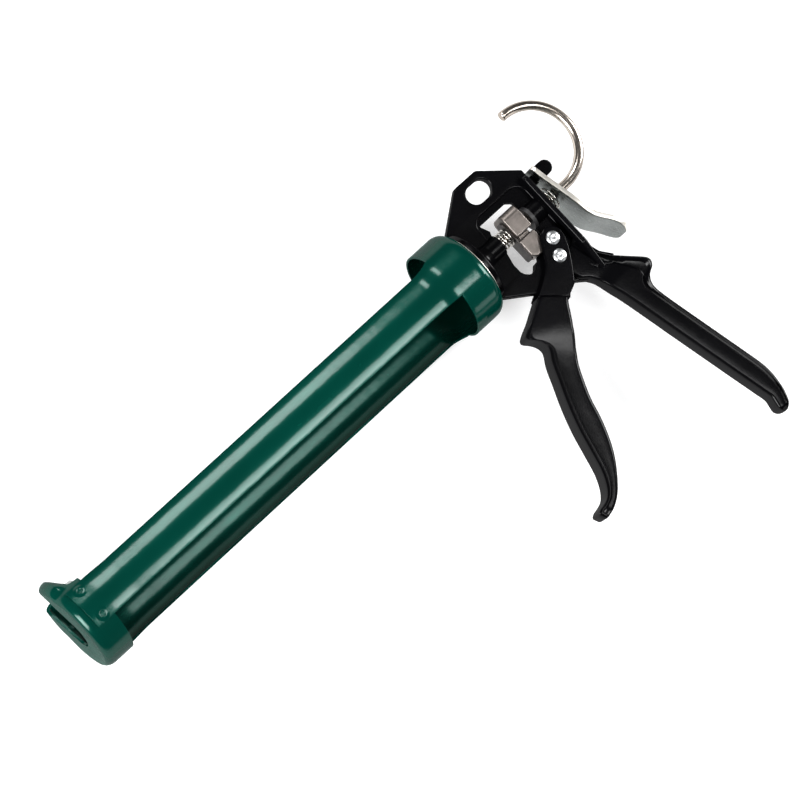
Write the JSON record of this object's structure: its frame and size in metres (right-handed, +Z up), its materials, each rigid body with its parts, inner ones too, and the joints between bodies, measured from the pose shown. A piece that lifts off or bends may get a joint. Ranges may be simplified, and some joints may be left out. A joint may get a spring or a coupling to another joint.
{
  "type": "caulking gun",
  "caption": "Caulking gun with a revolving half-open cradle, sliding hooked rod, squeeze trigger and thumb release.",
  "frame": {"origin": "centre of the bounding box in plan, on the surface the gun lies on", "axes": "+X from the nozzle end to the hook along the rod, +Y from the handles to the hanging plate, +Z up out of the gun's left side"},
  "size_m": [0.409, 0.234, 0.057],
  "materials": {
    "frame_casting": "semi-gloss black",
    "cradle_paint": "gloss dark teal green",
    "zinc_steel": "zinc plated",
    "bright_steel": "bright nickel",
    "brass_bush": "turned",
    "black_bush": "matt black"
  },
  "bodies": {
    "body": {"frame": "frame_casting", "hub_nut": "zinc_steel", "wave_washer": "zinc_steel", "front_rod_bush": "brass_bush", "rear_rod_bush": "black_bush", "drive_spring": "bright_steel", "release_spring": "bright_steel"},
    "cradle": {"barrel_shell": "cradle_paint", "barrel_end_plate": "zinc_steel", "front_cap": "cradle_paint", "cap_rivets": "cradle_paint"},
    "ram": {"rod": "bright_steel", "pusher_plate": "zinc_steel", "pusher_washer": "zinc_steel", "pusher_nut": "zinc_steel"},
    "drive": {"spring_seat": "zinc_steel", "grip_block": "zinc_steel", "push_block": "zinc_steel"},
    "squeeze": {"trigger": "frame_casting", "trigger_pivot_rivet": "bright_steel", "drive_rivet": "bright_steel", "drive_roller": "zinc_steel"},
    "release": {"release_lever": "zinc_steel"}
  },
  "joints": [
    {"name": "cradle_turn", "type": "hinge", "parent": "body", "child": "cradle", "pos_m": [0.09845, 0.0617, 0.0285], "axis": [1, 0, 0], "continuous": true},
    {"name": "rod_slide", "type": "slide", "parent": "body", "child": "ram", "axis": [1, 0, 0], "range_m": [0, 0.27]},
    {"name": "trigger_squeeze", "type": "hinge", "parent": "body", "child": "squeeze", "pos_m": [0.14025, 0.0343, 0.0285], "axis": [0, 0, 1], "range_deg": [0, 30], "stiffness_Nm_per_rad": 0.6, "springref_deg": -20.05, "deforming": ["drive_spring"]},
    {"name": "drive_slide", "type": "slide", "parent": "body", "child": "drive", "axis": [1, 0, 0], "range_m": [-0.0056, 0]},
    {"name": "release_tilt", "type": "hinge", "parent": "body", "child": "release", "pos_m": [0.16415, 0.0757, 0.0285], "axis": [0, 0, 1], "range_deg": [-8, 0], "stiffness_Nm_per_rad": 1, "springref_deg": 5.73, "deforming": ["release_spring"]}
  ],
  "couplings": [
    {"joint": "drive_slide", "follows": "trigger_squeeze", "m_per_rad": -0.0105}
  ]
}
